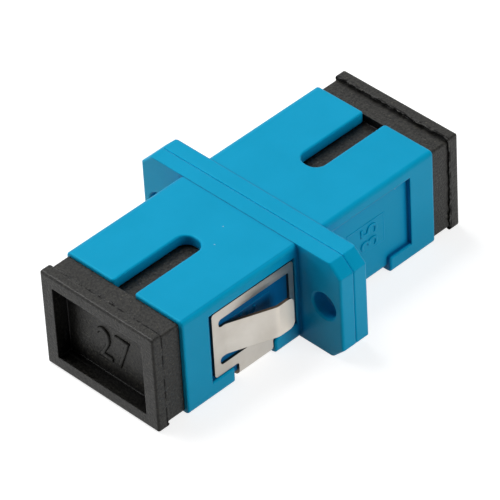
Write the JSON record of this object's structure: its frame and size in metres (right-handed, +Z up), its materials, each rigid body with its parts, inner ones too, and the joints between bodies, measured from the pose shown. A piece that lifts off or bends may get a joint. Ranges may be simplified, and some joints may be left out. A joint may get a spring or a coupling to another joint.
{
  "type": "sc fibre adapter",
  "caption": "Flanged simplex fibre adapter with square ports at both ends, a steel retention clip, a split alignment sleeve inside and rubber dust caps.",
  "frame": {"origin": "where the optical axis crosses the parting plane of the two housings, which is the centre of the bounding box", "axes": "+X along the optical axis, away from the half that carries the retention clip; +Y across the flange; +Z up, through the side with the keyways"},
  "size_m": [0.0334, 0.0218, 0.0094],
  "materials": {
    "blue_plastic": "satin moulded",
    "latch_plastic": "smooth moulded",
    "zirconia": "ground",
    "spring_steel": "rolled strip",
    "cap_rubber": "matte moulded"
  },
  "bodies": {
    "adapter": {"housing_front": "blue_plastic", "housing_rear": "blue_plastic", "latch_carrier_front": "latch_plastic", "latch_carrier_rear": "latch_plastic", "alignment_sleeve": "zirconia", "retention_clip": "spring_steel"},
    "front_cap": {"dust_cap_front": "cap_rubber"},
    "rear_cap": {"dust_cap_rear": "cap_rubber"}
  },
  "joints": [
    {"name": "front_cap_pull", "type": "slide", "parent": "adapter", "child": "front_cap", "axis": [-1, 0, 0], "range_m": [0, 0.014]},
    {"name": "rear_cap_pull", "type": "slide", "parent": "adapter", "child": "rear_cap", "axis": [1, 0, 0], "range_m": [0, 0.014]}
  ]
}
